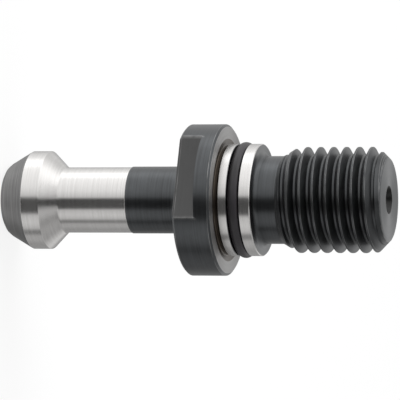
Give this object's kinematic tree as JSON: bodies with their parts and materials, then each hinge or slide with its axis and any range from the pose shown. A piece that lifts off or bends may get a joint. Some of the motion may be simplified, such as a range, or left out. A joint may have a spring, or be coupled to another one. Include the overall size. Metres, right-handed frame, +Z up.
{
  "type": "pull stud",
  "caption": "Threaded steel pull stud for a taper tool holder: gripping knob, ground neck, flange with wrench flats, sealed pilot and M16 thread.",
  "frame": {"origin": "centre of the flat end of the knob, on which the stud stands", "axes": "+Z up the stud's axis towards the end of the thread, with the wrench flats facing -Y and +Y"},
  "size_m": [0.023, 0.023, 0.06],
  "materials": {
    "steel": "black oxide, ground bright at the knob, neck, gauge face and pilot",
    "seal": "smooth moulded nitrile rubber"
  },
  "bodies": {
    "root": {"stud_body": "steel", "sealing_ring": "seal"}
  },
  "joints": []
}
